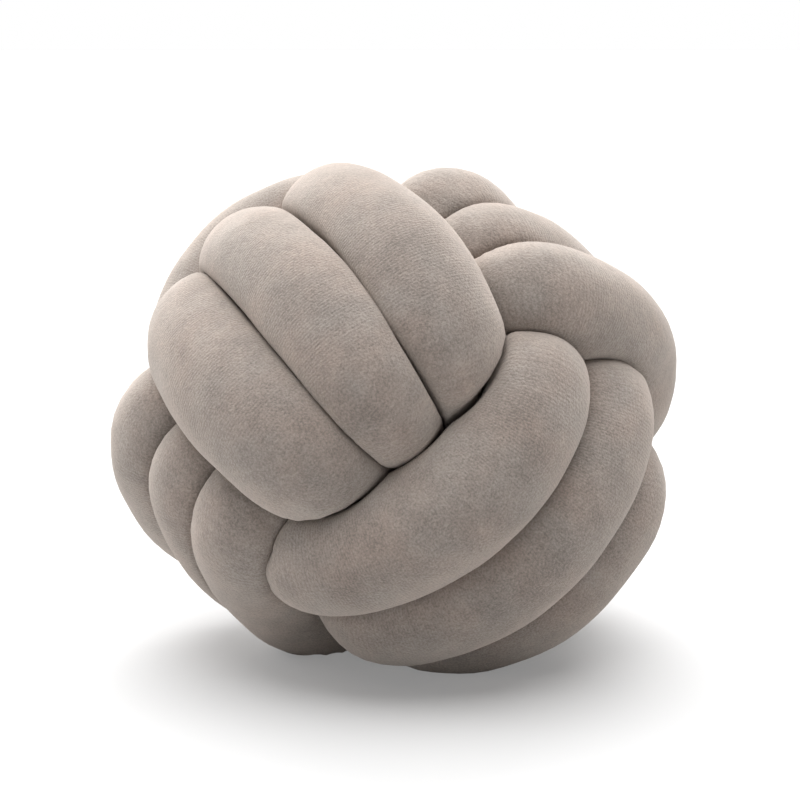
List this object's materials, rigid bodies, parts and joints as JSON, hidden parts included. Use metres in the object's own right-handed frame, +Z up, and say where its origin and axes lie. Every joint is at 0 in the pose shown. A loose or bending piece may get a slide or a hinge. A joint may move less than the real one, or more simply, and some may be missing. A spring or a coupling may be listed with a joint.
{
  "type": "knot cushion",
  "caption": "Round cushion knotted from a stuffed velvet tube as a monkey's fist, with plump strands side by side on every face; for a sofa, bed or floor.",
  "frame": {"origin": "centre of the cushion's footprint, on the plane it rests on", "axes": "+Z up, -Y towards the front that shows two whole faces of the knot side by side, +X to the right seen from the front"},
  "size_m": [0.2934, 0.2848, 0.2566],
  "materials": {
    "plush_velvet": "matte"
  },
  "bodies": {
    "root": {"knotted_tube": "plush_velvet"}
  },
  "joints": []
}
